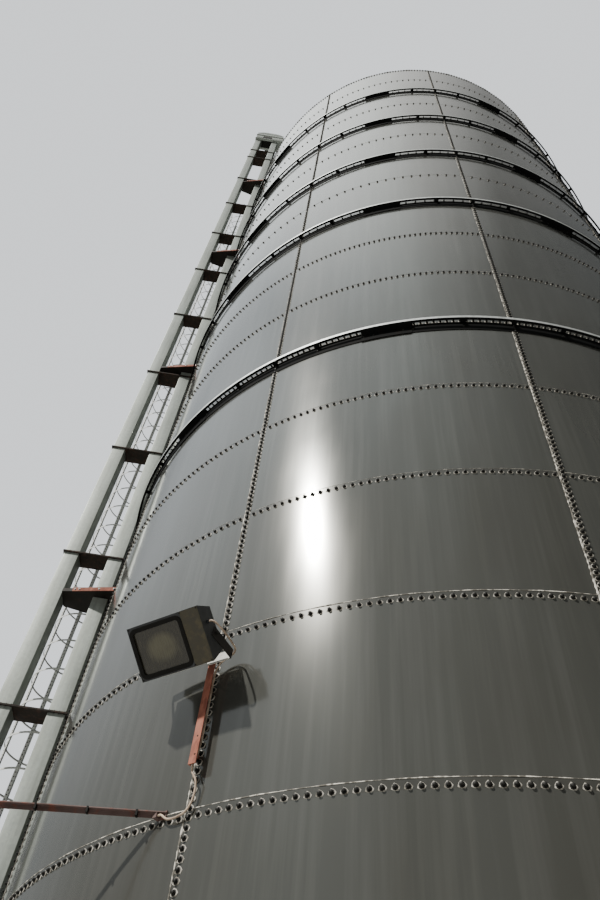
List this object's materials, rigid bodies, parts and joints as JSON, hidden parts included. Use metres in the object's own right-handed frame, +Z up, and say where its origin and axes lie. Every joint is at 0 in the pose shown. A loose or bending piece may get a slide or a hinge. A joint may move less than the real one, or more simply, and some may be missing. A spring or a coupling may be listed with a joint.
{
  "type": "feed silo",
  "caption": "Tower feed silo of bolted enamelled steel plates with stiffening rings, a twin-trunk bucket elevator, a caged ladder and a floodlight.",
  "frame": {"origin": "silo's axis at ground level, on the underside of its floor plate", "axes": "+Z up the silo's axis, -X towards the bucket elevator, the floodlight on the -X -Y side"},
  "size_m": [10.2725, 8.7628, 30.85],
  "materials": {
    "enamel": "glossy dark grey enamel fused to steel plate",
    "ring_steel": "dark coated pressed steel angle",
    "roof_steel": "weathered zinc coated sheet",
    "elevator_paint": "dull grey zinc coated sheet, dusty",
    "galvanised": "hot dipped zinc",
    "dark_steel": "dark weathered paint",
    "rusty_steel": "rusted primer",
    "lamp_housing": "weathered grey powder coat",
    "lamp_glass": "dusty flat glass",
    "cable": "faded light cable sheath"
  },
  "bodies": {
    "root": {"wall_stave_01": "enamel", "wall_stave_02": "enamel", "wall_stave_03": "enamel", "wall_stave_04": "enamel", "wall_stave_05": "enamel", "wall_stave_06": "enamel", "wall_stave_07": "enamel", "wall_stave_08": "enamel", "wall_stave_09": "enamel", "wall_stave_10": "enamel", "floor_plate": "enamel", "base_angle_ring": "galvanised", "stiffener_ring_1": "ring_steel", "stiffener_ring_2": "ring_steel", "stiffener_ring_3": "ring_steel", "stiffener_ring_4": "ring_steel", "stiffener_ring_5": "ring_steel", "roof_cone": "roof_steel", "roof_cap": "roof_steel", "elevator_boot": "elevator_paint", "intake_hopper": "elevator_paint", "elevator_section_01": "elevator_paint", "elevator_section_02": "elevator_paint", "elevator_section_03": "elevator_paint", "elevator_section_04": "elevator_paint", "elevator_section_05": "elevator_paint", "elevator_section_06": "elevator_paint", "elevator_section_07": "elevator_paint", "elevator_section_08": "elevator_paint", "elevator_section_09": "elevator_paint", "elevator_section_10": "elevator_paint", "elevator_section_11": "elevator_paint", "elevator_neck": "elevator_paint", "elevator_head": "elevator_paint", "head_hood": "elevator_paint", "drive_motor": "dark_steel", "discharge_spout": "elevator_paint", "elevator_tie_1": "dark_steel", "elevator_tie_2": "dark_steel", "elevator_tie_3": "dark_steel", "elevator_tie_4": "dark_steel", "elevator_tie_5": "dark_steel", "ladder_1": "galvanised", "ladder_2": "galvanised", "ladder_cage_1": "galvanised", "ladder_cage_2": "galvanised", "lamp_housing": "lamp_housing", "lamp_glass": "lamp_glass", "lamp_yoke": "dark_steel", "lamp_mast": "rusty_steel", "cable_arm": "rusty_steel", "lamp_cable": "cable"}
  },
  "joints": []
}
